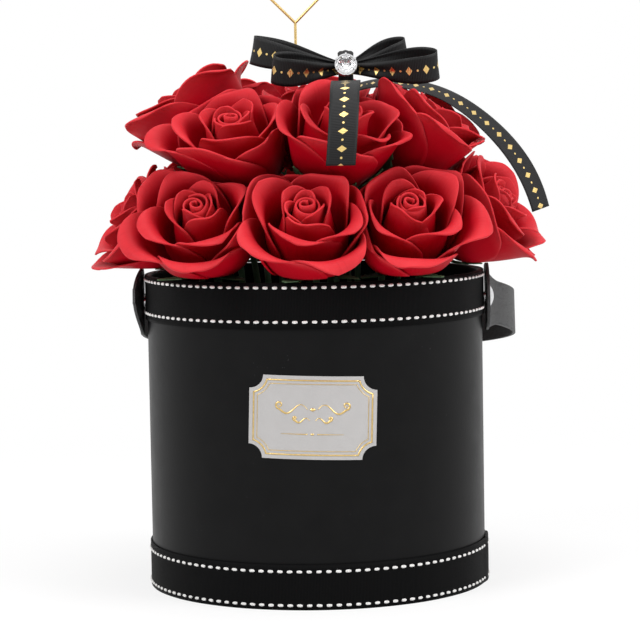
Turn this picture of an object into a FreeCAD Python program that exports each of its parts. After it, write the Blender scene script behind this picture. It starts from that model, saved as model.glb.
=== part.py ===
import FreeCAD
import Part
import math
import os
import random
from collections import namedtuple
from FreeCAD import Rotation, Vector

# A round flower box: a black board drum with two stitched ribbon trims, a label and a strap handle.
# Foam in the drum holds seventeen roses, a ribbon bow on a stick and a wire card pick.
# Millimetres. The origin is the middle of the base, +Z is up and the label faces -Y.
# An azimuth is in degrees from the front (-Y), counted towards the left (-X).

UP = Vector(0, 0, 1)
RIGHT = Vector(1, 0, 0)
TURN = 360.0

# Drum
DRUM_DIAMETER = 180.0
DRUM_HEIGHT = 167.0
WALL = 2.4
BASE_THICKNESS = 3.0
BASE_GAP = 0.1
RIM_ROUND = 0.8

# Ribbon trims round the drum
TRIM_WIDTH = 23.5
TRIM_THICKNESS = 1.1
TRIM_LAP = 20.0
TRIM_LAP_STEP = 0.8
TOP_LAP_AZIMUTH = 150.0
BOTTOM_LAP_AZIMUTH = -80.0

# Label
LABEL_WIDTH = 65.0
LABEL_HEIGHT = 42.5
LABEL_NOTCH = 7.0
LABEL_THICKNESS = 0.7
LABEL_MIDDLE = 98.5
LABEL_AZIMUTH = 1.2
LABEL_TILT = 2.0

# Foam block
FOAM_GAP = 0.3
FOAM_DROP = 20.0
FOAM_ROUND = 3.0

# Strap handle and its rivets
STRAP_WIDTH = 24.0
STRAP_THICKNESS = 1.6
STRAP_PAD = 36.0
STRAP_SHOULDER = 9.0
STRAP_REACH = 108.0
STRAP_BULGE = 18.0
STRAP_DROOP = 14.0
STRAP_LIP = 3.4
STRAP_GAP = 0.9
RIVET_DROP = 15.0
RIVET_SHANK = 5.0
RIVET_CAP = 12.0
RIVET_CAP_HEIGHT = 2.4
RIVET_PLAY = 0.05
RIVET_FACE_GAP = 0.6
WASHER_DIAMETER = 13.0
WASHER_THICKNESS = 0.8

# Roses
BUD_HEIGHT = 41.0
BUD_RADIUS = 9.0
BUD_TURNS = 2.2
BUD_FOOT = 9.5
PETAL_THICKNESS = 1.1
BLOOM_MIDDLE = 23.0
BLOOM_GAP = 0.9
SIDE_ROSE_SHARE = 0.8
OUTER_RING_RADIUS = 85.0
OUTER_RING_RISE = 26.0
INNER_RING_RADIUS = 60.0
INNER_RING_RISE = 41.0
TOP_RISE = 11.0
CALYX_RADIUS = 9.0
CALYX_DEPTH = 11.0
CALYX_GAP = 2.05
CALYX_SEAM = 200.0
SEPAL_LENGTH = 29.0
SEPAL_WIDTH = 12.0
SEPAL_THICKNESS = 0.8
SEPAL_COUNT = 5
SEPAL_TUCK = 0.5
STEM_DIAMETER = 3.4
STEM_IN_CALYX = 5.0
STEM_IN_FOAM = 30.0
OUTER_STEM_FOOT = 58.0
INNER_STEM_FOOT = 34.0

# Bow on its stick
BOW_RIBBON_WIDTH = 15.0
BOW_RIBBON_THICKNESS = 0.6
BOW_X = 18.5
BOW_Y = -27.0
BOW_RISE = 41.0
KNOT_WIDTH = 8.0
KNOT_DEPTH = 16.5
KNOT_HEIGHT = 22.0
KNOT_WRAP = 1.2
TAIL_DROP = 49.0
STONE_DIAMETER = 10.0
STONE_CROWN = 2.0
STONE_PAVILION = 2.4
STONE_FACETS = 12
SETTING_WALL = 0.8
SETTING_DEPTH = 3.2
SETTING_GAP = 0.3
PRONG_COUNT = 6
PRONG_DIAMETER = 1.0
BOW_STICK_DIAMETER = 2.4
STICK_IN_FOAM = 55.0
STICK_PLAY = 0.06

# Card pick
PICK_X = -8.0
PICK_Y = 33.0
PICK_WIRE = 1.5
PICK_HEART_SIDE = 20.0
PICK_RISE = 67.0
PICK_IN_FOAM = 55.0

DRUM_RADIUS = DRUM_DIAMETER / 2
TRIM_RADIUS = DRUM_RADIUS + TRIM_THICKNESS
BORE_RADIUS = DRUM_RADIUS - WALL
FOAM_TOP = DRUM_HEIGHT - FOAM_DROP
RIVET_HEIGHT = DRUM_HEIGHT - RIVET_DROP
OUTER_RING_HEIGHT = DRUM_HEIGHT + OUTER_RING_RISE
INNER_RING_HEIGHT = OUTER_RING_HEIGHT + INNER_RING_RISE
TOP_HEIGHT = INNER_RING_HEIGHT + TOP_RISE

# One layer of petals: how many, the length and width of each, the angles from upright at its foot, at its
# middle and of the rolled rim, and where its foot stands.
Layer = namedtuple("Layer", "count length width foot_angle mid_angle curl foot_radius foot_height phase tuck")
LAYERS = [
    Layer(3, 40.0, 33.0, 62.0, -9.0, 60.0, 4.4, 6.6, 20.0, 1.6),
    Layer(4, 46.0, 46.0, 72.0, 4.0, 120.0, 5.4, 3.4, 65.0, 1.6),
    Layer(5, 51.0, 53.0, 76.0, 20.0, 160.0, 6.4, 0.0, 10.0, 1.5),
]

# Each rose: its ring, where it sits, which way it looks and how far it leans, how it is turned about its
# own stem, and how far it stands above and outside its ring.
Rose = namedtuple("Rose", "ring azimuth facing tilt spin lift out")
ROSES = [
    Rose("outer", 2, 2, 44, 0, 0, 0),
    Rose("outer", 42, 14, 44, 40, 0, 0),
    Rose("outer", 84, 80, 56, 100, 0, 0),
    Rose("outer", 124, 130, 48, 150, 0, 0),
    Rose("outer", 163, 163, 48, 190, 0, 0),
    Rose("outer", 203, 203, 48, 230, 0, 0),
    Rose("outer", 245, 256, 56, 270, 0, 6),
    Rose("outer", 285, 288, 56, 310, 4, 5),
    Rose("outer", 326, 352, 44, 340, 0, 0),
    Rose("inner", 42, 14, 30, 25, 0, 0),
    Rose("inner", 92, 110, 34, 75, 12, 0),
    Rose("inner", 140, 140, 28, 125, 6, 0),
    Rose("inner", 198, 198, 28, 175, 4, 0),
    Rose("inner", 246, 246, 28, 225, 2, 0),
    Rose("inner", 293, 270, 34, 275, 2, 2),
    Rose("inner", 346, 338, 30, 325, 2, 0),
    Rose("top", 0, 60, 6, 15, 0, 0),
]
RING_RADIUS = {"outer": OUTER_RING_RADIUS, "inner": INNER_RING_RADIUS, "top": 0.0}
RING_HEIGHT = {"outer": OUTER_RING_HEIGHT, "inner": INNER_RING_HEIGHT, "top": TOP_HEIGHT}
STEM_FOOT = {"outer": OUTER_STEM_FOOT, "inner": INNER_STEM_FOOT, "top": 0.0}


def save(name, *solids):
    shape = solids[0] if len(solids) == 1 else Part.makeCompound(list(solids))
    shape.exportStep(f"parts/{name}.step")


def outward(azimuth):
    """Level direction at an azimuth."""
    a = math.radians(azimuth)
    return Vector(-math.sin(a), -math.cos(a), 0)


def smooth(start, end, x):
    """Eased step from 0 at start to 1 at end."""
    t = min(1.0, max(0.0, (x - start) / (end - start)))
    return t * t * (3 - 2 * t)


def mix(a, b, t):
    return a + (b - a) * t


def drum_ring(inner, outer, bottom, top):
    """Upright tube about the drum's axis."""
    foot = Vector(0, 0, bottom)
    tube = Part.makeCylinder(outer, top - bottom, foot)
    return tube.cut(Part.makeCylinder(inner, top - bottom, foot))


def rod(start, end, diameter):
    return Part.makeCylinder(diameter / 2, (end - start).Length, start, end - start)


def thick_sheet(place, columns, rows, thickness, settle=None):
    """Solid sheet whose middle surface is place(u, v), with u and v from 0 to 1.

    The points are the poles of a smooth surface. settle moves them clear of what the sheet lies against, and
    since the surface stays within its poles, the whole sheet then lies clear.
    """
    step = 1e-3
    faces = ([], [])
    for i in range(columns):
        u = i / (columns - 1)
        lines = ([], [])
        for j in range(rows):
            v = j / (rows - 1)
            across = place(min(u + step, 1), v) - place(max(u - step, 0), v)
            along = place(u, min(v + step, 1)) - place(u, max(v - step, 0))
            normal = across.cross(along).normalize()
            for line, side in zip(lines, (0.5, -0.5)):
                point = place(u, v) + normal * (thickness * side)
                line.append(settle(point) if settle else point)
        for face, line in zip(faces, lines):
            face.append(line)
    return solid_between(*faces)


def pulled_surface(grid):
    """Cubic surface that a grid of poles pulls into shape."""
    surface = Part.BSplineSurface()
    spans = [len(grid) - 3, len(grid[0]) - 3]
    knots = [list(range(n + 1)) for n in spans]
    repeats = [[4] + [1] * (n - 1) + [4] for n in spans]
    surface.buildFromPolesMultsKnots(grid, *repeats, *knots, False, False, 3, 3)
    return surface


def ruled_edge(one, other):
    """Straight-ruled face between two curves of the same degree and knots."""
    edge = Part.BSplineSurface()
    poles = [one.getPoles(), other.getPoles()]
    edge.buildFromPolesMultsKnots(poles, [2, 2], one.getMultiplicities(), [0, 1], one.getKnots(), False, False, 1,
                                  one.Degree)
    return edge.toShape()


def solid_between(front, back):
    """Solid between two grids of points, closed round its four edges."""
    shells = []
    borders = []
    for grid in (front, back):
        surface = pulled_surface(grid)
        u0, u1, v0, v1 = surface.bounds()
        shells.append(surface.toShape())
        borders.append([surface.uIso(u0), surface.uIso(u1), surface.vIso(v0), surface.vIso(v1)])
    for one, other in zip(*borders):
        shells.append(ruled_edge(one, other))
    shell = Part.makeShell(shells)
    shell.sewShape()
    solid = Part.makeSolid(shell)
    return solid if solid.Volume > 0 else Part.makeSolid(shell.reversed())


# Drum, trims and label

def rivet_bore(diameter):
    """Rod through both rivets, for their holes."""
    reach = RIGHT * DRUM_DIAMETER
    return rod(UP * RIVET_HEIGHT - reach, UP * RIVET_HEIGHT + reach, diameter)


def drum_wall():
    wall = drum_ring(BORE_RADIUS, DRUM_RADIUS, 0, DRUM_HEIGHT)
    rim = [e for e in wall.Edges if abs(e.BoundBox.ZMin - DRUM_HEIGHT) < 1e-6 and e.BoundBox.ZLength < 1e-6]
    wall = wall.makeFillet(RIM_ROUND, rim)
    return wall.cut(rivet_bore(RIVET_SHANK))


def drum_base():
    return Part.makeCylinder(BORE_RADIUS - BASE_GAP, BASE_THICKNESS)


def trim(bottom, lap_azimuth):
    """Ribbon glued round the drum, with its end lapped over its start."""
    band = drum_ring(DRUM_RADIUS, TRIM_RADIUS, bottom, bottom + TRIM_WIDTH)
    sweep = math.degrees(TRIM_LAP / TRIM_RADIUS)
    start = outward(lap_azimuth)
    lap = Part.Face(Part.Wire([
        Part.makeLine(start * TRIM_RADIUS + UP * bottom, start * (TRIM_RADIUS + TRIM_LAP_STEP) + UP * bottom),
        Part.makeLine(start * (TRIM_RADIUS + TRIM_LAP_STEP) + UP * bottom,
                      start * (TRIM_RADIUS + TRIM_LAP_STEP) + UP * (bottom + TRIM_WIDTH)),
        Part.makeLine(start * (TRIM_RADIUS + TRIM_LAP_STEP) + UP * (bottom + TRIM_WIDTH),
                      start * TRIM_RADIUS + UP * (bottom + TRIM_WIDTH)),
        Part.makeLine(start * TRIM_RADIUS + UP * (bottom + TRIM_WIDTH), start * TRIM_RADIUS + UP * bottom),
    ])).revolve(Vector(), UP, sweep)
    return band.fuse(lap).removeSplitter().cut(rivet_bore(RIVET_SHANK))


def label():
    """Card with a scooped notch at each corner, bent round the drum."""
    w, h, n = LABEL_WIDTH / 2, LABEL_HEIGHT / 2, LABEL_NOTCH
    edges = []
    for turn in range(4):
        a, b = (w, h) if turn % 2 == 0 else (h, w)
        bite = n * math.sqrt(0.5)
        corner = [Vector(a - n, 0, b), Vector(a - bite, 0, b - bite), Vector(a, 0, b - n), Vector(a, 0, n - b)]
        corner = [Rotation(Vector(0, 1, 0), 90 * turn).multVec(p) for p in corner]
        edges.append(Part.Arc(*corner[:3]).toShape())
        edges.append(Part.makeLine(corner[2], corner[3]))
    card = Part.Face(Part.Wire(Part.__sortEdges__(edges))).extrude(Vector(0, -DRUM_DIAMETER, 0))
    card.rotate(Vector(), Vector(0, 1, 0), LABEL_TILT)
    card.translate(UP * LABEL_MIDDLE)
    card.rotate(Vector(), UP, -LABEL_AZIMUTH)
    return card.common(drum_ring(DRUM_RADIUS, DRUM_RADIUS + LABEL_THICKNESS, 0, DRUM_HEIGHT))


# Strap handle

def strap_middle():
    """Half-and-half loop of the strap in its own plane: x across the drum, y back from the rivets."""
    side = TRIM_RADIUS + STRAP_GAP + STRAP_THICKNESS / 2
    pad = STRAP_PAD / 2
    flat = RIVET_CAP * 0.7
    bow = side + STRAP_BULGE
    points = [
        Vector(side, -pad, 0),
        Vector(side, 0, 0),
        Vector(side + STRAP_LIP * 0.05, flat, 0),
        Vector(mix(side, bow, 0.5), pad + STRAP_SHOULDER, 0),
        Vector(bow, STRAP_REACH * 0.55, 0),
        Vector(side * 0.68, STRAP_REACH * 0.93, 0),
        Vector(0, STRAP_REACH, 0),
        Vector(-side * 0.62, STRAP_REACH * 0.86, 0),
        Vector(-side - STRAP_LIP * 0.5, STRAP_REACH * 0.44, 0),
        Vector(-side - STRAP_LIP * 0.05, flat, 0),
        Vector(-side, 0, 0),
        Vector(-side - STRAP_LIP * 0.05, -flat, 0),
        Vector(-side - STRAP_LIP, -pad, 0),
    ]
    line = Part.BSplineCurve()
    line.interpolate(points)
    return line


def strap_half_width(distance):
    """Half width of the strap at a distance from its rivet: a round pad that necks in to the strap."""
    pad = STRAP_PAD / 2
    tip = STRAP_WIDTH / 6
    if distance < 0:
        return max(tip, math.sqrt(max(0.0, pad * pad - distance * distance)))
    return mix(pad, STRAP_WIDTH / 2, smooth(0, pad + STRAP_SHOULDER, distance))


def strap():
    line = strap_middle()
    first, last = line.FirstParameter, line.LastParameter
    length = line.length()
    droop = Rotation(RIGHT, -STRAP_DROOP)
    pivot = UP * RIVET_HEIGHT
    pad = STRAP_PAD / 2

    def place(u, v):
        at = line.parameterAtDistance(length * u, first)
        from_rivet = min(length * u, length * (1 - u)) - pad
        middle = pivot + droop.multVec(line.value(min(at, last)))
        return middle + droop.multVec(UP) * (strap_half_width(from_rivet) * (2 * v - 1))

    sheet = thick_sheet(place, 61, 4, STRAP_THICKNESS)
    return sheet.cut(rivet_bore(RIVET_SHANK + 2 * RIVET_PLAY))


def rivet(side):
    """Tubular rivet on one side: domed cap, shank through strap, trim and wall, and rolled end."""
    cap_at = TRIM_RADIUS + STRAP_GAP + STRAP_THICKNESS + RIVET_FACE_GAP
    end_at = BORE_RADIUS - WASHER_THICKNESS
    radius = RIVET_SHANK / 2
    cap = RIVET_CAP / 2
    dome = (cap * cap + RIVET_CAP_HEIGHT ** 2) / (2 * RIVET_CAP_HEIGHT)
    half_sweep = math.asin(cap / dome) / 2
    dome_at = cap_at + RIVET_CAP_HEIGHT - dome
    dome_middle = Vector(dome_at + dome * math.cos(half_sweep), 0, dome * math.sin(half_sweep))
    outline = [
        Part.makeLine(Vector(end_at, 0, 0), Vector(end_at, 0, radius)),
        Part.makeLine(Vector(end_at, 0, radius), Vector(cap_at, 0, radius)),
        Part.makeLine(Vector(cap_at, 0, radius), Vector(cap_at, 0, cap)),
        Part.Arc(Vector(cap_at, 0, cap), dome_middle, Vector(cap_at + RIVET_CAP_HEIGHT, 0, 0)).toShape(),
        Part.makeLine(Vector(cap_at + RIVET_CAP_HEIGHT, 0, 0), Vector(end_at, 0, 0)),
    ]
    solid = Part.Face(Part.Wire(outline)).revolve(Vector(), RIGHT, TURN)
    if side < 0:
        solid.rotate(Vector(), UP, TURN / 2)
    solid.translate(UP * RIVET_HEIGHT)
    return solid


def washer(side):
    """Washer inside the drum, dished to the wall, under the rivet's rolled end."""
    start = Vector(side * (BORE_RADIUS - 2 * WASHER_THICKNESS), 0, RIVET_HEIGHT)
    disc = rod(start, start + RIGHT * (side * DRUM_RADIUS), WASHER_DIAMETER)
    disc = disc.common(drum_ring(BORE_RADIUS - WASHER_THICKNESS, BORE_RADIUS, 0, DRUM_HEIGHT))
    return disc.cut(rivet_bore(RIVET_SHANK))


# Roses

def rose_middle(rose):
    return outward(rose.azimuth) * (RING_RADIUS[rose.ring] + rose.out) + UP * (RING_HEIGHT[rose.ring] + rose.lift)


def rose_axis(rose):
    tilt = math.radians(rose.tilt)
    return outward(rose.facing) * math.sin(tilt) + UP * math.cos(tilt)


def rose_frame(rose):
    """Placement that stands a rose, drawn upright from its foot, in its place in the dome."""
    turn = Rotation(UP, rose_axis(rose)).multiply(Rotation(UP, rose.spin))
    foot = rose_middle(rose) - rose_axis(rose) * BLOOM_MIDDLE
    return FreeCAD.Placement(foot, turn)


def rose_floor(rose):
    """Level that a rose stays above: the drum's rim, or the top of a handle pad beside it."""
    beside_pad = abs(outward(rose.azimuth).x) > SIDE_ROSE_SHARE
    top = max(DRUM_HEIGHT, RIVET_HEIGHT + STRAP_PAD / 2) if beside_pad else DRUM_HEIGHT
    return top + BLOOM_GAP


def give_way(rose):
    """Squeeze that keeps a rose above its floor and on its own side of the planes half way to its neighbours."""
    middle = rose_middle(rose)
    walls = []
    for other in ROSES:
        away = rose_middle(other) - middle
        if 0 < away.Length < 4 * BLOOM_MIDDLE:
            walls.append((away.normalize(), (rose_middle(other) - middle).Length / 2 - BLOOM_GAP / 2))
    walls.append((UP * -1, middle.z - rose_floor(rose)))

    def settle(point):
        for away, limit in walls:
            free = limit * 0.7
            room = limit - free
            reach = (point - middle).dot(away)
            if reach > free:
                point = point + away * (free + room * (1 - math.exp((free - reach) / room)) - reach)
        return point

    return settle


def petal_profile(layer, open_by):
    """Radius, height and slope along a petal's middle, from its foot to its rolled rim."""
    steps = 60
    radius, height = layer.foot_radius, layer.foot_height
    profile = []
    for i in range(steps + 1):
        v = i / steps
        slope = mix(layer.foot_angle, layer.mid_angle + open_by, smooth(0, 0.5, v))
        slope = math.radians(slope + layer.curl * smooth(0.66, 1.12, v) ** 1.3)
        profile.append((radius, height, slope))
        radius += layer.length / steps * math.sin(slope)
        height += layer.length / steps * math.cos(slope)
    return profile


def petal(layer, index, frame, settle, chance):
    """One petal: cupped round the axis, tucked under its neighbour on one side, rolled out at the rim."""
    profile = petal_profile(layer, chance.uniform(-4, 4))
    facing = math.radians(layer.phase + TURN / layer.count * index + chance.uniform(-7, 7))
    last = len(profile) - 1

    def place(u, v):
        side = 2 * u - 1
        along = v * (1 - 0.2 * abs(side) ** 2.4) * last
        k = min(int(along), last - 1)
        radius, height, slope = [mix(a, b, along - k) for a, b in zip(profile[k], profile[k + 1])]
        half = layer.width / 2 * mix(0.42, 1, smooth(0, 0.6, v)) * (1 - 0.3 * smooth(0.7, 1.15, v))
        shift = layer.tuck * side
        angle = facing + side * half / max(radius, layer.foot_radius + 4)
        radius += shift * math.cos(slope)
        local = Vector(radius * math.cos(angle), radius * math.sin(angle), height - shift * math.sin(slope))
        return frame.multVec(local)

    return thick_sheet(place, 6, 8, PETAL_THICKNESS, settle)


def bud(frame, settle):
    """Heart of the rose: one petal rolled up into a spiral that closes in at its top."""
    def place(u, v):
        angle = u * BUD_TURNS * 2 * math.pi
        belly = 0.62 + 0.5 * math.sin(math.pi * (0.15 + 0.75 * v))
        radius = mix(1.3, BUD_RADIUS, u) * belly
        local = Vector(radius * math.cos(angle), radius * math.sin(angle), mix(BUD_FOOT, BUD_HEIGHT - 2.5 * u, v))
        return frame.multVec(local)

    return thick_sheet(place, 24, 5, PETAL_THICKNESS * 0.8, settle)


def bloom(rose, number):
    chance = random.Random(number)
    frame = rose_frame(rose)
    settle = give_way(rose)
    petals = [bud(frame, settle)]
    for layer in LAYERS:
        petals += [petal(layer, i, frame, settle, chance) for i in range(layer.count)]
    return petals


def stem_line(rose):
    """Stem from inside the calyx to its foot in the foam."""
    frame = rose_frame(rose)
    top = frame.multVec(UP * (STEM_IN_CALYX - CALYX_DEPTH))
    foot = outward(rose.azimuth) * STEM_FOOT[rose.ring] + UP * (FOAM_TOP - STEM_IN_FOAM)
    return top, foot


def calyx(rose):
    """Green cup under a bloom, with its sepals, sleeved on the stem."""
    frame = rose_frame(rose)
    settle = give_way(rose)
    r, d = CALYX_RADIUS, CALYX_DEPTH
    neck = STEM_DIAMETER * 0.9
    outline = [
        Part.makeLine(Vector(0, 0, -d), Vector(neck, 0, -d)),
        Part.Arc(Vector(neck, 0, -d), Vector(r * 0.86, 0, -d * 0.52), Vector(r, 0, -CALYX_GAP)).toShape(),
        Part.makeLine(Vector(r, 0, -CALYX_GAP), Vector(0, 0, -CALYX_GAP)),
        Part.makeLine(Vector(0, 0, -CALYX_GAP), Vector(0, 0, -d)),
    ]
    cup = Part.Face(Part.Wire(outline)).revolve(Vector(), UP, TURN)
    cup.Placement = frame.multiply(FreeCAD.Placement(Vector(), Rotation(UP, CALYX_SEAM)))
    cup = cup.cut(rod(*stem_line(rose), STEM_DIAMETER))

    def sepal(index):
        facing = TURN / SEPAL_COUNT * (index + 0.5)

        def place(u, v):
            radius = r - SEPAL_TUCK + SEPAL_LENGTH * v * 0.72
            height = -4.6 + SEPAL_LENGTH * (0.16 * v + 0.36 * v * v)
            half = SEPAL_WIDTH / 2 * (0.45 + 1.1 * v) * (1 - v ** 3 * 0.93)
            spread = Rotation(UP, facing).multVec(Vector(radius, half * (2 * u - 1), height))
            return frame.multVec(spread)

        return thick_sheet(place, 4, 7, SEPAL_THICKNESS, settle)

    return [cup] + [sepal(i) for i in range(SEPAL_COUNT)]


def foam(holes):
    """Foam block that the stems are pushed into."""
    block = Part.makeCylinder(BORE_RADIUS - FOAM_GAP, FOAM_TOP - BASE_THICKNESS, UP * BASE_THICKNESS)
    edge = [e for e in block.Edges if abs(e.BoundBox.ZMin - FOAM_TOP) < 1e-6]
    return block.makeFillet(FOAM_ROUND, edge).cut(Part.makeCompound(holes))


# Bow, and the stick that holds it

def bow_middle():
    return Vector(BOW_X, BOW_Y, INNER_RING_HEIGHT + BOW_RISE)


def bow_loop(root, tip, opening):
    """Ribbon loop: out from the knot to its tip and back, in the shape of half a figure of eight."""
    start = bow_middle() + root
    sideways = Vector(0, 1, 0.12)
    edge = tip.cross(sideways).normalize() * BOW_RIBBON_WIDTH
    gape = edge.cross(tip).normalize() * (opening / 2)

    def place(u, v):
        turn = math.pi * mix(0.012, 0.988, u)
        middle = start + tip * math.sin(turn) + gape * math.sin(2 * turn)
        return middle + edge * (v - 0.5)

    return thick_sheet(place, 25, 4, BOW_RIBBON_THICKNESS)


def ribbon_tail(route, edges):
    """Loose ribbon end along a route, whose edge direction turns from the first to the last given."""
    line = Part.BSplineCurve()
    line.interpolate(route)
    length = line.length()

    def place(u, v):
        at = line.parameterAtDistance(length * u, line.FirstParameter)
        edge = mix(edges[0], edges[1], smooth(0, 1, u)).normalize()
        return line.value(at) + edge * (BOW_RIBBON_WIDTH * (v - 0.5))

    return thick_sheet(place, 21, 4, BOW_RIBBON_THICKNESS)


def front_tail():
    """Tail that comes forward over the front roses and hangs down."""
    top = bow_middle()
    hang = -INNER_RING_RADIUS - 36
    route = [
        top + Vector(0, 3.2 - KNOT_DEPTH / 2, 1.2 - KNOT_HEIGHT / 2),
        Vector(top.x - 0.6, hang + 34, top.z - 8),
        Vector(top.x - 1.4, hang + 13, top.z - 13.5),
        Vector(top.x - 2.2, hang + 2.5, top.z - 28),
        Vector(top.x - 3.2, hang, top.z - TAIL_DROP),
    ]
    return ribbon_tail(route, [Vector(1, 0.05, 0), Vector(1, 0, 0.1)])


def side_tail():
    """Tail that runs out over the roses on the right and falls past the outer ring."""
    top = bow_middle()
    route = [
        top + Vector(4, 3, 0.2 - KNOT_HEIGHT / 2),
        Vector(INNER_RING_RADIUS - 13, -4, INNER_RING_HEIGHT + 33),
        Vector(INNER_RING_RADIUS + 8, 3, INNER_RING_HEIGHT + 28),
        Vector(OUTER_RING_RADIUS + 8, 8, OUTER_RING_HEIGHT + 53),
        Vector(OUTER_RING_RADIUS + 30, 8, OUTER_RING_HEIGHT + 26),
        Vector(OUTER_RING_RADIUS + 38, 7, OUTER_RING_HEIGHT + 5),
    ]
    return ribbon_tail(route, [Vector(0.1, 1, 0.25), Vector(0.45, 0.85, 0.35)])


def knot():
    """Ribbon wrapped round the roots of the loops."""
    middle = bow_middle() - RIGHT * (KNOT_WIDTH / 2)
    rings = []
    for trim_by in (0, KNOT_WRAP):
        half_height, half_depth = KNOT_HEIGHT / 2 - trim_by, KNOT_DEPTH / 2 - trim_by
        oval = Part.Ellipse(Vector(), half_height, half_depth).toShape()
        disc = Part.Face(Part.Wire(oval)).extrude(UP * KNOT_WIDTH)
        disc.rotate(Vector(), Vector(0, 1, 0), 90)
        disc.translate(middle)
        rings.append(disc)
    return rings[0].cut(rings[1])


def facet_ring(radius, level):
    corners = [Vector(radius * math.cos(a), radius * math.sin(a), level)
               for a in (2 * math.pi * i / STONE_FACETS for i in range(STONE_FACETS + 1))]
    return Part.makePolygon(corners)


def stone_frame():
    """Placement at the front of the knot, facing the front and a little up."""
    lean = Rotation(RIGHT, 75)
    return FreeCAD.Placement(bow_middle() + Vector(0, -KNOT_DEPTH / 2 - SETTING_DEPTH - SETTING_GAP, 2), lean)


def stone():
    r = STONE_DIAMETER / 2
    rings = [facet_ring(r * 0.12, -STONE_PAVILION), facet_ring(r, 0), facet_ring(r * 0.82, STONE_CROWN * 0.62),
             facet_ring(r * 0.55, STONE_CROWN)]
    gem = Part.makeLoft(rings, True, True)
    gem.Placement = stone_frame()
    return gem


def setting():
    """Cup that holds the stone by its prongs."""
    r = STONE_DIAMETER / 2
    cup = Part.makeCylinder(r + SETTING_WALL, SETTING_DEPTH, UP * -SETTING_DEPTH)
    seat = Part.makeCone(r * 0.12 + 0.3, r + 0.1, STONE_PAVILION + 0.1, UP * (-STONE_PAVILION - 0.1))
    cup = cup.cut(seat)
    for i in range(PRONG_COUNT):
        a = 2 * math.pi * (i + 0.5) / PRONG_COUNT
        foot = Vector(math.cos(a), math.sin(a), 0) * (r + PRONG_DIAMETER * 0.55)
        cup = cup.fuse(Part.makeCylinder(PRONG_DIAMETER / 2, STONE_CROWN * 0.7 + 1, foot - UP))
    cup.Placement = stone_frame()
    return cup


def bow_stick():
    top = bow_middle() - UP * (KNOT_HEIGHT / 2 + 0.1)
    return rod(Vector(BOW_X, BOW_Y, FOAM_TOP - STICK_IN_FOAM), top, BOW_STICK_DIAMETER)


# Card pick

def card_pick():
    """Wire bent into a heart on a straight stem."""
    foot = Vector(PICK_X, PICK_Y, INNER_RING_HEIGHT + PICK_RISE)
    side = PICK_HEART_SIDE
    reach = side * math.sqrt(0.5)
    pick = rod(Vector(PICK_X, PICK_Y, FOAM_TOP - PICK_IN_FOAM), foot, PICK_WIRE)
    for hand in (1, -1):
        shoulder = foot + Vector(hand * reach, 0, reach)
        centre = foot + Vector(hand * reach / 2, 0, reach * 1.5)
        crown = centre + Vector(hand * side / 2 * math.sqrt(0.5), 0, side / 2 * math.sqrt(0.5))
        arm = rod(foot, shoulder, PICK_WIRE)
        arch = Part.Wire(Part.Arc(shoulder, crown, foot + UP * (2 * reach)).toShape())
        tangent = Vector(hand, 0, 1)
        ring = Part.Wire(Part.makeCircle(PICK_WIRE / 2, shoulder, tangent))
        pick = pick.fuse([arm, arch.makePipeShell([ring], True, False)])
    pick = pick.fuse([Part.makeSphere(PICK_WIRE / 2, foot), Part.makeSphere(PICK_WIRE / 2, foot + UP * (2 * reach))])
    return pick


def stick_hole(x, y, diameter, depth):
    return Part.makeCylinder(diameter / 2 + STICK_PLAY, depth, Vector(x, y, FOAM_TOP - depth))


# Build

os.makedirs("parts", exist_ok=True)
save("drum_wall", drum_wall())
save("drum_base", drum_base())
save("top_trim", trim(DRUM_HEIGHT - TRIM_WIDTH, TOP_LAP_AZIMUTH))
save("bottom_trim", trim(0, BOTTOM_LAP_AZIMUTH))
save("label", label())
save("handle_strap", strap())
save("rivet_left", rivet(-1))
save("rivet_right", rivet(1))
save("rivet_washers", washer(-1), washer(1))

stems = [rod(*stem_line(rose), STEM_DIAMETER) for rose in ROSES]
holes = stems + [
    stick_hole(BOW_X, BOW_Y, BOW_STICK_DIAMETER, STICK_IN_FOAM),
    stick_hole(PICK_X, PICK_Y, PICK_WIRE, PICK_IN_FOAM),
]
save("rose_stems", *stems)
save("foam", foam(holes))
for number, rose in enumerate(ROSES, 1):
    save(f"rose_bloom_{number:02d}", *bloom(rose, number))
    save(f"rose_calyx_{number:02d}", *calyx(rose))

save("bow_loop_left_back", bow_loop(Vector(-1, 1.5, 0), Vector(-48, 13, 11), 17))
save("bow_loop_left_front", bow_loop(Vector(-1, -1.5, 0), Vector(-36, -13, 1), 12))
save("bow_loop_right_back", bow_loop(Vector(1, 1.5, 0), Vector(32, 12, 9), 11))
save("bow_loop_right_front", bow_loop(Vector(1, -1.5, 0), Vector(47, -9, 2), 13))
save("bow_tail_front", front_tail())
save("bow_tail_side", side_tail())
save("bow_knot", knot())
save("bow_stone", stone())
save("bow_stone_setting", setting())
save("bow_stick", bow_stick())
save("card_pick", card_pick())
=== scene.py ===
# %% [markdown]
# # Dressing a round flower box
# The object is a black board drum, trimmed with stitched ribbon and filled with a dome of red soap roses.
# A bow on a stick and a gold wire pick stand among the flowers, and a strap handle hangs behind. The
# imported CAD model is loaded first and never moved. What is rigid keeps its CAD shape and gets a finish.
# What is soft or thin, such as petals and ribbon, is drawn again here with a finer mesh in the same
# place. Shapes are worked out in millimetres, and `MM` turns them into the scene's metres.

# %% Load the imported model
import math
import random
from collections import namedtuple

import bpy
import numpy as np
from mathutils import Matrix, Quaternion, Vector


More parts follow.
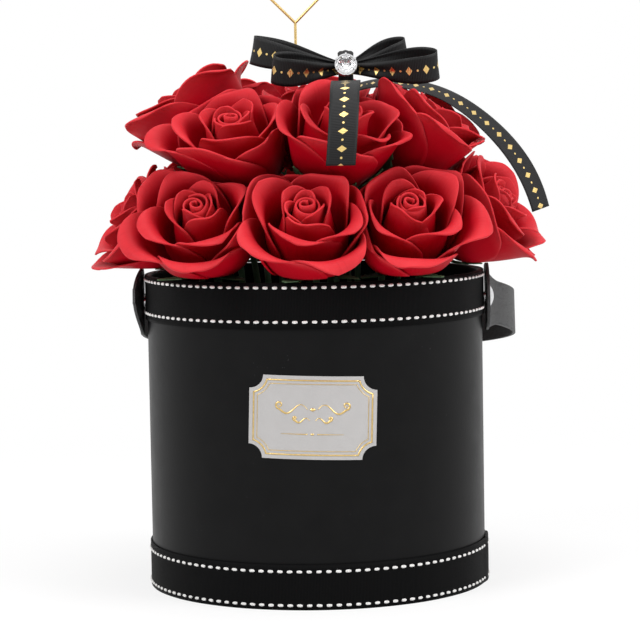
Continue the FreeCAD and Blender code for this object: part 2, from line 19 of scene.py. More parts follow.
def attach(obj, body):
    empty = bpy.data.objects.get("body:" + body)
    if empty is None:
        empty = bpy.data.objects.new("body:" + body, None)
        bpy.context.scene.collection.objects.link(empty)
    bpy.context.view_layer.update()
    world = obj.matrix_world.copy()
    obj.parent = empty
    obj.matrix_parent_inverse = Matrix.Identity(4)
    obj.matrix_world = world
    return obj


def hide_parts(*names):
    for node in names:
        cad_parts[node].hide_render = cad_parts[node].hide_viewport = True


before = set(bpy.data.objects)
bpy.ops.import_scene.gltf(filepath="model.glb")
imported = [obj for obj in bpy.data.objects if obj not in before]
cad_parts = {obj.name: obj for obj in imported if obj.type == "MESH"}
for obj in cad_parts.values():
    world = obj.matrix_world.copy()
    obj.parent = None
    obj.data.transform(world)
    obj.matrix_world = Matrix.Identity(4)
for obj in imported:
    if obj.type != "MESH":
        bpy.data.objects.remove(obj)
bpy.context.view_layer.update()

MM = 0.001

# %% [markdown]
# The photograph was taken from a little above, with a long lens about 1.4 metres away. A long lens keeps
# the drum's sides nearly parallel. The camera is rolled by one degree, because the drum leans by that
# much in the picture.

# %% Camera
ROLL = math.radians(-1.0)
camera = bpy.data.objects.new("camera", bpy.data.cameras.new("camera"))
bpy.context.scene.collection.objects.link(camera)
bpy.context.scene.camera = camera
camera.data.lens = 144.4
camera.data.clip_end = 100
stand = Vector((2.7, -1380, 257.6)) * MM
look_at = Vector((2.7, 0, 140.5)) * MM
aim = (look_at - stand).to_track_quat("-Z", "Y").to_matrix().to_4x4()
camera.matrix_world = Matrix.Translation(stand) @ aim @ Matrix.Rotation(ROLL, 4, "Z")
print("camera stands", round((look_at - stand).length, 3), "m away")

# %% [markdown]
# Shader maths is easier to read as sums than as boxes and wires. A `Value` wraps one socket, and adding
# or multiplying values adds the Math node that does it. `Nodes` holds a node tree, and its one method
# `node` makes any other node. A `Finish` is the node tree of a material: it sets constants on the main
# shader and feeds it with sums where the surface changes.

# %% Finishes written as sums
class Value:
    """A shader socket that takes part in Python sums."""

    def __init__(self, nodes, socket):
        self.nodes, self.socket = nodes, socket

    def math(self, operation, *terms):
        return self.nodes.node("ShaderNodeMath", {"operation": operation}, dict(enumerate(terms)))

    def __add__(self, other):
        return self.math("ADD", self, other)

    def __sub__(self, other):
        return self.math("SUBTRACT", self, other)

    def __rsub__(self, other):
        return self.math("SUBTRACT", other, self)

    def __mul__(self, other):
        return self.math("MULTIPLY", self, other)

    def __truediv__(self, other):
        return self.math("DIVIDE", self, other)

    def __rtruediv__(self, other):
        return self.math("DIVIDE", other, self)

    def __abs__(self):
        return self.math("ABSOLUTE", self)

    def sine(self):
        return self.math("SINE", self)

    def fraction(self):
        return self.math("FRACT", self)

    def step(self, start, end):
        """0 below start, 1 above end, eased between."""
        settings = {"interpolation_type": "SMOOTHSTEP", "clamp": True}
        return self.nodes.node("ShaderNodeMapRange", settings, {0: self, 1: start, 2: end, 3: 0, 4: 1})

    __radd__ = __add__
    __rmul__ = __mul__


class Nodes:
    """A node tree."""

    def __init__(self, tree):
        self.tree = tree

    def node(self, kind, settings, inputs, out=0):
        """Any node, with its settings, what goes into its sockets and the output that is used."""
        made = self.tree.nodes.new(kind)
        for name, value in settings.items():
            setattr(made, name, value)
        for name, value in inputs.items():
            if isinstance(value, Value):
                self.link(value, made.inputs[name])
            else:
                made.inputs[name].default_value = value
        return Value(self, made.outputs[out])

    def link(self, value, socket):
        self.tree.links.new(value.socket, socket)


class Finish(Nodes):
    """One material, with constants on its main shader and sums on what changes over the surface."""

    def __init__(self, name, constants=()):
        self.material = bpy.data.materials.new(name)
        self.material.use_nodes = True
        super().__init__(self.material.node_tree)
        self.shader = self.tree.nodes["Principled BSDF"]
        for socket, value in dict(constants).items():
            self.shader.inputs[socket].default_value = value

    def feed(self, **links):
        """Links values to the main shader. An underscore stands for a space in a socket's name."""
        for name, value in links.items():
            self.link(value, self.shader.inputs[name.replace("_", " ")])

    def fed(self, name):
        """What feeds a socket of the main shader so far."""
        return Value(self, self.shader.inputs[name].links[0].from_socket)

    def place(self, stretch=(1, 1, 1)):
        """Place on the object in millimetres, stretched along each axis."""
        spot = self.node("ShaderNodeTexCoord", {}, {}, out="Object")
        scale = [s / MM for s in stretch]
        return self.node("ShaderNodeVectorMath", {"operation": "MULTIPLY"}, {0: spot, 1: scale})

    def mark(self, name):
        """A number that the mesh carries at each point."""
        return self.node("ShaderNodeAttribute", {"attribute_name": name}, {}, out="Fac")

    def join(self, x, y, z):
        return self.node("ShaderNodeCombineXYZ", {}, {0: x, 1: y, 2: z})

    def noise(self, place, size, detail=2.0):
        """Soft noise with grains of about this size in millimetres."""
        return self.node("ShaderNodeTexNoise", {}, {"Vector": place, "Scale": 1 / size, "Detail": detail})

    def blend(self, share, low, high):
        """Colour between low and high. A Mix node has its colours in sockets 6 and 7, and out of 2."""
        low, high = [c if isinstance(c, Value) else (*c, 1) for c in (low, high)]
        return self.node("ShaderNodeMix", {"data_type": "RGBA"}, {0: share, 6: low, 7: high}, out=2)

    def relief(self, height, depth):
        """Height from 0 to 1 becomes a bump of this depth in millimetres."""
        bump = self.node("ShaderNodeBump", {}, {"Strength": 1.0, "Distance": depth * MM, "Height": height})
        self.feed(Normal=bump)


print("finishes are ready to be written")

# %% [markdown]
# The box stands on a plain pale floor in front of white. The floor and the world are white to the camera
# and to reflections, but light the flowers less strongly, so that red stays red. Large soft lamps stand
# to the left, to the right and above, as in a product studio.

# %% Studio
LIGHT_GLOW = 0.45
NEAR_WHITE, WHITE_FROM, WHITE_BY = 0.75, 180, 700
LAMP_AIM = Vector((0, 0, 0.2))


def seen_share(nodes):
    """1 for rays from the camera, a mirror or glass, 0 for rays that carry light."""
    path = [nodes.node("ShaderNodeLightPath", {}, {}, out=name)
            for name in ("Is Camera Ray", "Is Glossy Ray", "Is Transmission Ray")]
    return (path[0] + path[1] + path[2]).step(0, 1)


def white_world():
    world = bpy.data.worlds.new("studio")
    world.use_nodes = True
    studio = Nodes(world.node_tree)
    background = studio.tree.nodes["Background"]
    background.inputs["Color"].default_value = (1, 1, 1, 1)
    studio.link(seen_share(studio) * (1 - LIGHT_GLOW) + LIGHT_GLOW, background.inputs["Strength"])
    return world


def white_floor():
    """Paper that takes a shadow near the box and turns to plain white further out."""
    floor_white = Finish("floor_white", {"Base Color": (0.85, 0.85, 0.85, 1), "Roughness": 0.9})
    paper = Value(floor_white, floor_white.shader.outputs[0])
    white = floor_white.node("ShaderNodeEmission", {}, {"Color": (1, 1, 1, 1), "Strength": 1})
    spot = floor_white.place()
    far = floor_white.node("ShaderNodeVectorMath", {"operation": "LENGTH"}, {0: spot}, out=1)
    whiter = far.step(WHITE_FROM, WHITE_BY) * (1 - NEAR_WHITE) + NEAR_WHITE
    share = seen_share(floor_white) * whiter
    mixed = floor_white.node("ShaderNodeMixShader", {}, {0: share, 1: paper, 2: white})
    floor_white.link(mixed, floor_white.tree.nodes["Material Output"].inputs["Surface"])
    return floor_white


def softbox(name, place, size, watts):
    """Square lamp that faces the flowers, with its place and size in metres."""
    lamp = bpy.data.objects.new(name, bpy.data.lights.new(name, "AREA"))
    lamp.data.size, lamp.data.energy = size, watts
    lamp.location = place
    lamp.rotation_mode = "QUATERNION"
    lamp.rotation_quaternion = (LAMP_AIM - Vector(place)).to_track_quat("-Z", "Y")
    bpy.context.scene.collection.objects.link(lamp)


bpy.context.scene.world = white_world()
bpy.ops.mesh.primitive_circle_add(vertices=96, radius=9, fill_type="NGON")
floor = bpy.context.object
floor.name = "floor"
floor.data.materials.append(white_floor().material)
softbox("lamp_left", (-1.1, -0.9, 1.1), 0.8, 16)
softbox("lamp_right", (1.2, -0.6, 0.9), 0.8, 13)
softbox("lamp_top", (0.1, -0.1, 1.6), 1.0, 14)

# %% [markdown]
# Petals, sepals and ribbons are all sheets. They could be pushed into shape by hand from planes, but a
# formula gives even quads and is easy to change. One helper turns grids of points into a mesh, gives
# every point its place along and across the sheet, and lets a Solidify modifier add the thickness.

# %% Helpers for sheets
def eased(start, end, x):
    """Eased step from 0 at start to 1 at end."""
    t = np.clip((x - start) / (end - start), 0, 1)
    return t * t * (3 - 2 * t)


def mix(a, b, t):
    return a + (b - a) * t


def unit(vectors):
    return vectors / np.linalg.norm(vectors, axis=-1, keepdims=True)


def outward(azimuth):
    """Level direction at an azimuth in degrees, counted from the front towards the left."""
    a = np.radians(azimuth)
    return np.stack([-np.sin(a), -np.cos(a), 0 * a], -1)


def sheet_piece(name, sheets, finishes, thickness=0.0, closed=False, edge=0.0):
    """One object from sheets of (points in mm, along, across, tone), each a grid of rows by columns."""
    points, faces, marks = [], [], {"along": [], "across": [], "tone": []}
    count = 0
    for grid, along, across, tone in sheets:
        rows, columns = grid.shape[:2]
        number = count + np.arange(rows * columns).reshape(rows, columns)
        if closed:
            number = np.concatenate([number, number[:, :1]], 1)
        corners = [number[:-1, :-1], number[:-1, 1:], number[1:, 1:], number[1:, :-1]]
        faces += np.stack(corners, -1).reshape(-1, 4).tolist()
        points.append(grid.reshape(-1, 3) * MM)
        for mark, value in zip(marks, (along, across, tone)):
            marks[mark].append(np.broadcast_to(value, (rows, columns)).ravel())
        count += rows * columns
    mesh = bpy.data.meshes.new(name)
    mesh.from_pydata(np.concatenate(points).tolist(), [], faces)
    for mark, values in marks.items():
        layer = mesh.attributes.new(mark, "FLOAT", "POINT")
        layer.data.foreach_set("value", np.concatenate(values).astype(np.float32))
    mesh.shade_smooth()
    piece = bpy.data.objects.new(name, mesh)
    bpy.context.scene.collection.objects.link(piece)
    for finish in finishes:
        mesh.materials.append(finish.material)
    if thickness:
        solid = piece.modifiers.new("thickness", "SOLIDIFY")
        solid.thickness, solid.offset = thickness * MM, 0
        solid.use_even_offset = False
        solid.material_offset = len(finishes) - 1
    if edge:
        soften = piece.modifiers.new("soft edge", "BEVEL")
        soften.width, soften.segments, soften.limit_method = edge * MM, 2, "ANGLE"
    return piece


print("helpers are ready")

# %% [markdown]
# The drum is grey board wrapped in matt black paper. Its CAD wall and base are right as they are, so they
# only need a finish: nearly black, with a faint mottle, a few pale specks of dust and a rim rubbed a
# little paler.

# %% Board of the drum
DRUM_RADIUS, DRUM_HEIGHT, RUBBED_RIM = 90.0, 167.0, 1.2


def black_board():
    board = Finish("black_board", {"Specular IOR Level": 0.09})
    place = board.place()
    mottle = board.noise(place, 14, 3)
    fibre = board.noise(board.place((1, 1, 0.25)), 0.7, 2)
    dust = board.noise(place, 1.6, 1).step(0.74, 0.78) * board.noise(place, 30, 1).step(0.5, 0.7)
    height = board.node("ShaderNodeSeparateXYZ", {}, {0: place}, out=2)
    rub = height.step(DRUM_HEIGHT - RUBBED_RIM, DRUM_HEIGHT) * board.noise(place, 5, 3).step(0.45, 0.7)
    black = board.blend(mottle, (0.0030, 0.0030, 0.0032), (0.0055, 0.0055, 0.0057))
    dusty = board.blend(dust * 0.07, black, (0.30, 0.30, 0.30))
    board.feed(Base_Color=board.blend(rub * 0.25, dusty, (0.12, 0.11, 0.10)))
    board.feed(Roughness=mottle * 0.12 + fibre * 0.08 + 0.30)
    board.relief(fibre * 0.7 + mottle * 0.3, 0.03)
    return board


def finish_nodes(finish, *names):
    """Gives CAD nodes their finish."""
    for name in names:
        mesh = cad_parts[name].data
        mesh.materials.clear()
        mesh.materials.append(finish.material)


finish_nodes(black_board(), "drum_wall", "drum_base")

# %% [markdown]
# Grosgrain is a ribbon with a fine rib across it. The rib comes from the place along the ribbon, so it
# bends with the cloth. A tube would have no ends, so the trim is drawn unrolled, then laid round the
# drum, and its end laps over its start.

# %% Ribbon trims
TRIM_WIDTH, TRIM_LAP, TRIM_THICK = 23.5, 20.0, 0.9
TRIM_RADIUS, TRIM_MIDDLE = DRUM_RADIUS + 0.5, DRUM_RADIUS + 0.62
TRIM_ROUND = 2 * math.pi * TRIM_RADIUS
TOP_LAP, BOTTOM_LAP, LAP_STEP = 150, -80, 0.85
SLOW_RIPPLE, FAST_RIPPLE = 0.06, 0.048


def ribbed_ribbon(name, rib, half_width, gloss, rib_highlight):
    """Black grosgrain: ribs across with a painted highlight along the top of each rib, and a denser edge on
    both sides.
    """
    cloth = Finish(name, {"Specular IOR Level": gloss})
    along, across = cloth.mark("along"), cloth.mark("across")
    ridge = (along * (2 * math.pi / rib)).sine() * 0.5 + 0.5
    thread = cloth.noise(cloth.join(along * 3, across * 0.7, 0), 1.0, 2)
    edge = abs(across).step(half_width - 1.3, half_width - 0.7)
    # The tops of the ribs are painted lighter than their grooves: a painted highlight, with painted shade
    # between.
    shade = cloth.blend(ridge * 0.6 + thread * 0.4, (0.0010, 0.0010, 0.0011), (rib_highlight, rib_highlight, rib_highlight * 1.05))
    cloth.feed(Base_Color=shade, Roughness=thread * 0.25 + 0.45 - edge * 0.08)
    cloth.relief(ridge * (1 - edge * 0.6) * 0.8 + thread * 0.2, 0.12)
    return cloth


trim_cloth = ribbed_ribbon("black_grosgrain", 0.75, TRIM_WIDTH / 2, 0.035, 0.0055)


def set_on_body(piece, slot, *nodes, body="box"):
    """The piece moves with its body and stands for CAD nodes, which are hidden. The slot is not used."""
    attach(piece, body)
    if nodes:
        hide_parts(*nodes)
    return piece


def trim_ribbon(name, node, bottom, lap_azimuth):
    """Ribbon laid round the drum with a slight ripple, stepping up where it meets its own start."""
    along = np.linspace(0, TRIM_ROUND + TRIM_LAP, 361)[:, None]
    across = np.linspace(-0.5, 0.5, 9)[None, :] * TRIM_WIDTH
    azimuth = lap_azimuth - np.degrees(along / TRIM_RADIUS) + 0 * across
    turn = np.radians(azimuth)
    ripple = SLOW_RIPPLE * np.sin(turn * 7) * np.cos(across / 6) + FAST_RIPPLE * np.sin(turn * 17)
    radius = TRIM_MIDDLE + ripple + LAP_STEP * eased(TRIM_ROUND - 9, TRIM_ROUND + 1, along)
    points = outward(azimuth) * radius[..., None]
    points[..., 2] += bottom + TRIM_WIDTH / 2 + across
    trim = sheet_piece(name, [(points, along, across, 0)], [trim_cloth], thickness=TRIM_THICK)
    return set_on_body(trim, "black_grosgrain", node)


top_ribbon = trim_ribbon("top_ribbon", "top_trim", DRUM_HEIGHT - TRIM_WIDTH, TOP_LAP)
bottom_ribbon = trim_ribbon("bottom_ribbon", "bottom_trim", 0, BOTTOM_LAP)
trim_flat = (TRIM_WIDTH * MM, (TRIM_ROUND + TRIM_LAP) * MM)
print("each trim was cut to", [round(x / MM, 1) for x in trim_flat], "mm")

# %% [markdown]
# White saddle stitches run along both edges of each trim. Dashes in the ribbon's finish would look flat
# from the side, and each stitch is a short, fat length of thread. So one rounded stitch is drawn and set
# round the drum again and again, with small slips in its length and angle.

# %% Saddle stitches
STITCH_PITCH, STITCH_LENGTH, STITCH_WIDTH, STITCH_BULGE = 5.0, 2.9, 1.55, 0.75
STITCH_RADIUS = DRUM_RADIUS + 1.05
FROM_DRUM_END, FROM_DRUM_SIDE = 2.4, 3.7
TOP_ROWS = (DRUM_HEIGHT - TRIM_WIDTH + FROM_DRUM_SIDE, DRUM_HEIGHT - FROM_DRUM_END)
BOTTOM_ROWS = (FROM_DRUM_END, TRIM_WIDTH - FROM_DRUM_SIDE)


def white_thread():
    thread = Finish("white_thread", {"Sheen Weight": 0.2})
    along, across = thread.mark("along"), thread.mark("across")
    ply = (along * 7 + across * 4).sine() * 0.5 + 0.5
    thread.feed(Base_Color=thread.blend(ply, (0.66, 0.65, 0.63), (0.86, 0.85, 0.84)))
    thread.feed(Roughness=ply * 0.2 + 0.6)
    thread.relief(ply, 0.12)
    return thread


stitch_thread = white_thread()


def stitch_rows(name, heights, lap_azimuth, seed):
    """Rows of stitches round the drum, lifted where the trim laps over itself."""
    chance = random.Random(seed)
    a = np.linspace(-math.pi / 2, math.pi / 2, 9)[:, None]
    b = np.linspace(0, 2 * math.pi, 9)[None, :-1]
    fat = np.cos(a) ** 0.55
    count = round(2 * math.pi * STITCH_RADIUS / STITCH_PITCH)
    stitches = []
    for height in heights:
        for k in range(count):
            middle = 360 / count * k
            length = STITCH_LENGTH / 2 * chance.uniform(0.93, 1.06)
            lean = math.radians(chance.uniform(-4, 4))
            run, rise = length * np.sin(a) + 0 * b, STITCH_WIDTH / 2 * fat * np.cos(b)
            azimuth = middle + np.degrees((run * math.cos(lean) - rise * math.sin(lean)) / STITCH_RADIUS)
            past_lap = math.radians((lap_azimuth - middle) % 360) * STITCH_RADIUS
            lifted = STITCH_RADIUS + LAP_STEP * (past_lap < TRIM_LAP + 1)
            points = outward(azimuth) * (lifted + STITCH_BULGE * fat * np.sin(b))[..., None]
            points[..., 2] += height + run * math.sin(lean) + rise * math.cos(lean)
            stitches.append((points, run, rise, 0))
    rows = sheet_piece(name, stitches, [stitch_thread], closed=True)
    return set_on_body(rows, "black_grosgrain")


top_stitches = stitch_rows("top_stitches", TOP_ROWS, TOP_LAP, 1)
bottom_stitches = stitch_rows("bottom_stitches", BOTTOM_ROWS, BOTTOM_LAP, 2)
print("stitch faces:", len(top_stitches.data.polygons) + len(bottom_stitches.data.polygons))

# %% [markdown]
# The label is a pearly card with a scooped notch at each corner. Its CAD shape is right, so it gets a
# finish. Gold is metal with a little wear: where it is worn, it is paler and less sharp.

# %% Label card
def pearl_card():
    card = Finish("label_card", {"Coat Weight": 0.1, "Coat Roughness": 0.3})
    fibre = card.noise(card.place((1, 1, 3)), 0.6, 3)
    cloud = card.noise(card.place(), 9, 2)
    card.feed(Base_Color=card.blend(cloud * 0.5 + fibre * 0.5, (0.37, 0.36, 0.355), (0.46, 0.45, 0.445)))
    card.feed(Roughness=fibre * 0.2 + 0.38)
    card.relief(fibre, 0.03)
    return card


def gold_foil(name, roughness):
    gold = Finish(name, {"Metallic": 1.0})
    place = gold.place()
    wear = gold.noise(place, 1.2, 3)
    gold.feed(Base_Color=gold.blend(wear, (0.50, 0.33, 0.11), (0.83, 0.62, 0.27)))
    gold.feed(Roughness=wear * 0.2 + roughness)
    gold.relief(gold.noise(place, 0.5, 2), 0.02)
    return gold


finish_nodes(pearl_card(), "label")
label_gold = gold_foil("label_gold", 0.22)

# %% [markdown]
# Two gold lines follow the edge of the card, and a plain scroll stands in its middle. The card's finish
# could carry them, but gold foil has a little height. So each line is a thin strip that is bent round the
# drum with the card.

# %% Gold lines on the label
LABEL_HALF_WIDTH, LABEL_HALF_HEIGHT, LABEL_NOTCH, LABEL_MIDDLE = 32.5, 21.25, 7.0, 98.5
LABEL_AZIMUTH, LABEL_TILT = math.radians(1.2), math.radians(2.0)
GOLD_LIFT, GOLD_THICK = 0.78, 0.09
SCROLL_LEVEL, SMALL_SCROLL_LEVEL, RULE_LEVEL = 4.2, -1.4, -8.4


def on_label(x, z):
    """Point of the flat card, bent round the drum just above the card's face."""
    across = x * math.cos(LABEL_TILT) + z * math.sin(LABEL_TILT)
    height = LABEL_MIDDLE - x * math.sin(LABEL_TILT) + z * math.cos(LABEL_TILT)
    depth = -np.sqrt((DRUM_RADIUS + GOLD_LIFT) ** 2 - across ** 2)
    c, s = math.cos(-LABEL_AZIMUTH), math.sin(-LABEL_AZIMUTH)
    return np.stack([across * c - depth * s, across * s + depth * c, height], -1)


def label_outline(inset):
    """Closed outline of the card, moved in by an inset."""
    w, h, r = LABEL_HALF_WIDTH, LABEL_HALF_HEIGHT, LABEL_NOTCH + inset
    slip = math.asin(inset / r)
    a = np.linspace(math.pi + slip, 1.5 * math.pi - slip, 14)
    scoop = np.stack([w + r * np.cos(a), h + r * np.sin(a)], -1)
    right = np.stack([np.full(8, w - inset), np.linspace(scoop[-1, 1], -scoop[-1, 1], 10)[1:-1]], -1)
    low = scoop[::-1] * (1, -1)
    under = np.stack([np.linspace(low[-1, 0], -low[-1, 0], 26)[1:-1], np.full(24, inset - h)], -1)
    half = np.concatenate([scoop, right, low, under])
    return np.concatenate([half, -half, half[:1]])


def gold_line(inset, width):
    """Line that follows the edge of the card."""
    edges = np.stack([label_outline(inset - width / 2), label_outline(inset + width / 2)], 1)
    return on_label(edges[..., 0], edges[..., 1])


def gold_stroke(path, widths):
    """Strip along a flat path on the card."""
    path = np.array(path, float)
    aside = unit(np.gradient(path, axis=0))[:, ::-1] * (1, -1) * np.array(widths)[:, None] / 2
    strip = np.stack([path - aside, path + aside], 1)
    return on_label(strip[..., 0], strip[..., 1])


def scroll(hand, start, reach, height, level):
    """Half of a plain scroll: a wave that ends in a curl."""
    t = np.linspace(0, 1, 40)
    wave = np.stack([mix(start, reach, t), level + height * np.sin(2 * math.pi * t) * (1 - 0.3 * t)], -1)
    a = np.linspace(0, 2.6 * math.pi, 44)[1:]
    spin = height * 0.75 * (1 - a / (3.1 * math.pi))
    curl = wave[-1] + np.stack([spin * np.sin(a), height * 0.75 - spin * np.cos(a)], -1)
    path = np.concatenate([wave, curl]) * (hand, 1)
    widths = 0.25 + 0.75 * np.sin(math.pi * np.linspace(0.04, 0.94, len(path))) ** 2
    return gold_stroke(path, widths)


def lozenge(level, size):
    t = np.linspace(-1, 1, 7)
    return gold_stroke(np.stack([size * t, level + 0 * t], -1), size * 1.1 * (1 - abs(t)) + 0.02)


def rule(hand):
    """Half of a ruled line that thins towards its end."""
    x = hand * np.linspace(2.4, 16, 12)
    return gold_stroke(np.stack([x, 0 * x + RULE_LEVEL], -1), np.linspace(0.5, 0.12, 12))


HANDS = (1, -1)
strokes = [gold_line(inset=2.3, width=0.75), gold_line(inset=4.2, width=0.3)]
strokes += [scroll(hand, start=2.6, reach=17, height=2.7, level=SCROLL_LEVEL) for hand in HANDS]
strokes += [scroll(hand, start=1.5, reach=9, height=1.4, level=SMALL_SCROLL_LEVEL) for hand in HANDS]
strokes += [lozenge(SCROLL_LEVEL, 1.7), lozenge(RULE_LEVEL, 1.1)]
strokes += [rule(hand) for hand in HANDS]
strips = [(points, 0, 0, 0) for points in strokes]
label_lines = sheet_piece("label_gold_lines", strips, [label_gold], thickness=GOLD_THICK)
set_on_body(label_lines, "gold_metal")
print("gold strips on the label:", len(strokes))

# %% [markdown]
# A strap or a ribbon bends smoothly through a few chosen places. A curve object could do this, but its
# points are wanted here as numbers. So a small spline is worked out: the slopes at the places are solved
# together, so that the bend never jumps, and points are then spaced evenly along it.

# %% Smooth lines
SPLINE_STEPS = 60


def smooth_line(points, count):
    """Evenly spaced points on the smooth line through the given ones, and that line's length."""
    p = np.array(points, float)
    last = len(p) - 1
    span = np.linalg.norm(np.diff(p, axis=0), axis=1)[:, None]
    way = np.diff(p, axis=0) / span
    weights, sums = np.eye(last + 1), np.zeros_like(p)
    sums[0] = way[0] - span[0] * (way[1] - way[0]) / (span[0] + span[1])
    sums[last] = way[-1] + span[-1] * (way[-1] - way[-2]) / (span[-1] + span[-2])
    for i in range(1, last):
        weights[i, i - 1:i + 2] = span[i, 0], 2 * (span[i - 1, 0] + span[i, 0]), span[i - 1, 0]
        sums[i] = 3 * (span[i] * way[i - 1] + span[i - 1] * way[i])
    slope = np.linalg.solve(weights, sums)
    t = np.linspace(0, 1, SPLINE_STEPS)[:, None]
    runs = []
    for i in range(last):
        between = (1 + 2 * t) * (1 - t) ** 2 * p[i] + t * t * (3 - 2 * t) * p[i + 1]
        bend = t * (1 - t) ** 2 * slope[i] - t * t * (1 - t) * slope[i + 1]
        runs.append(between + bend * span[i])
    fine = np.concatenate(runs)
    reach = np.concatenate([[0], np.cumsum(np.linalg.norm(np.diff(fine, axis=0), axis=1))])
    even = np.linspace(0, reach[-1], count)
    return np.stack([np.interp(even, reach, fine[:, k]) for k in range(3)], -1), reach[-1]


quarter_bend = [(0, 10, 0), (7, 7, 0), (10, 0, 0)]
print("a smooth quarter bend is", round(smooth_line(quarter_bend, 9)[1], 1), "mm long")

# %% [markdown]
# The handle is a strap of grained leatherette with a round pad at each end, where a rivet holds it. It is
# drawn as one long sheet whose width follows the pad, the neck and the strap, because a sheet keeps even
# quads round the bend. It is then thickened and softened at its edges. The rivets and washers keep their
# CAD shape.

# %% Strap handle and rivets
RIVET_HEIGHT, PAD_RADIUS, NECK_LENGTH, END_HALF = 152.0, 18.0, 27.0, 4.0
STRAP_HALF, STRAP_THICK, STRAP_EDGE, STRAP_GAP = 12.0, 1.6, 0.4, 2.0
STRAP_REACH, STRAP_BELLY, STRAP_DROOP = 108.0, 18.0, math.radians(-14)
FLAT_LENGTH, FLAT_SPRING, STRAP_STEPS = 8.4, 0.17, 900


def leatherette():
    hide = Finish("strap_leatherette", {"Specular IOR Level": 0.5})
    place = hide.place()
    to_edge = {"feature": "DISTANCE_TO_EDGE"}
    grain = hide.node("ShaderNodeTexVoronoi", to_edge, {"Vector": place, "Scale": 1 / 0.9}).step(0, 0.22)
    tone = hide.noise(place, 11, 3)
    dark = hide.blend(tone, (0.032, 0.032, 0.033), (0.062, 0.062, 0.064))
    # The valleys of the grain are painted near black: painted shade in its creases.
    hide.feed(Base_Color=hide.blend(grain, (0.010, 0.010, 0.010), dark))
    hide.feed(Roughness=tone * 0.2 + 0.34 + (1 - grain) * 0.2)
    hide.relief(grain, 0.08)
    return hide


def strap_route():
    """Line of the level strap, from the right rivet round the back to the left one."""
    side = DRUM_RADIUS + STRAP_GAP + STRAP_THICK / 2
    flat, belly = side + FLAT_SPRING, side + STRAP_BELLY
    right = [(side, -PAD_RADIUS), (side, 0), (flat, FLAT_LENGTH), (mix(side, belly, 0.5), NECK_LENGTH)]
    back = [(belly, STRAP_REACH * 0.55), (side * 0.68, STRAP_REACH * 0.93), (0, STRAP_REACH),
            (-side * 0.62, STRAP_REACH * 0.86), (-side - 1.7, STRAP_REACH * 0.44)]
    left = [(-flat, FLAT_LENGTH), (-side, 0), (-flat, -FLAT_LENGTH), (-side - 3.4, -PAD_RADIUS)]
    return [(x, y, 0) for x, y in right + back + left]


def strap_piece():
    even, length = smooth_line(strap_route(), STRAP_STEPS)
    ends = PAD_RADIUS * (1 - np.cos(np.linspace(0, math.pi / 2, 14)))
    at = np.concatenate([ends, np.linspace(PAD_RADIUS, length - PAD_RADIUS, 150)[1:-1], length - ends[::-1]])
    line = np.stack([np.interp(at, np.linspace(0, length, STRAP_STEPS), even[:, k]) for k in range(3)], -1)
    from_rivet = np.minimum(at, length - at) - PAD_RADIUS
    pad = np.maximum(END_HALF, np.sqrt(np.maximum(0, PAD_RADIUS ** 2 - from_rivet ** 2)))
    half = np.where(from_rivet < 0, pad, mix(PAD_RADIUS, STRAP_HALF, eased(0, NECK_LENGTH, from_rivet)))
    across = half[:, None] * np.linspace(-1, 1, 11)[None, :]
    c, s = math.cos(STRAP_DROOP), math.sin(STRAP_DROOP)
    x, y, z = line[:, :1] + 0 * across, line[:, 1:2] + 0 * across, across
    points = np.stack([x, y * c - z * s, y * s + z * c + RIVET_HEIGHT], -1)
    sheet = (points, at[:, None], across, 0)
    return sheet_piece("strap", [sheet], [leatherette()], thickness=STRAP_THICK, edge=STRAP_EDGE)


def rivet_metal():
    steel = Finish("rivet_steel", {"Metallic": 1.0})
    rub = steel.noise(steel.place((0.3, 1, 1)), 0.8, 3)
    steel.feed(Base_Color=steel.blend(rub, (0.62, 0.62, 0.63), (0.80, 0.80, 0.81)))
    steel.feed(Roughness=rub * 0.18 + 0.16)
    steel.relief(steel.noise(steel.place(), 0.6, 2), 0.015)
    return steel


strap = set_on_body(strap_piece(), "strap_leatherette", "handle_strap", body="handle")
rivet_steel = rivet_metal()
finish_nodes(rivet_steel, "rivet_left", "rivet_right", "rivet_washers")
print("strap faces:", len(strap.data.polygons))

# %% [markdown]
# Under the flowers is a block of floral foam, with green plastic stems pushed into it. Little of them
# shows, so both keep their CAD shape.

# %% Foam and stems
def floral_foam():
    foam = Finish("floral_foam", {"Roughness": 0.95, "Specular IOR Level": 0.2})
    pores = foam.node("ShaderNodeTexVoronoi", {}, {"Vector": foam.place(), "Scale": 1 / 0.8}).step(0.1, 0.6)
    # The pits are painted darker than the foam around them: painted shade in the pores.
    foam.feed(Base_Color=foam.blend(pores, (0.012, 0.03, 0.016), (0.045, 0.085, 0.045)))
    foam.relief(pores, 0.3)
    return foam


def green_plastic(name, dark, light):
    green = Finish(name, {"Specular IOR Level": 0.4})
    streak = green.noise(green.place((1, 1, 0.3)), 1.5, 3)
    tone = green.noise(green.place(), 12, 2)
    green.feed(Base_Color=green.blend(streak * 0.5 + tone * 0.5, dark, light))
    green.feed(Roughness=streak * 0.25 + 0.42)
    green.relief(streak, 0.1)
    return green


stem_green = green_plastic("stem_green", (0.012, 0.035, 0.012), (0.035, 0.085, 0.030))
finish_nodes(floral_foam(), "foam")
finish_nodes(stem_green, "rose_stems", "bow_stick")

# %% [markdown]
# Seventeen roses make the dome: nine lean out over the rim, seven stand in a ring above them and one
# crowns the top. Each rose knows its ring, where it sits, which way it faces, how far it leans and how it
# is turned. Soft flowers that are pushed together flatten where they meet. A simulation could press them,
# but `give_way` does it with a formula that gives the same result each time: past a point, a petal is
# eased back from the plane between it and each neighbour, and from the rim of the drum below. A ring with
# more push gets more of the room between two roses.

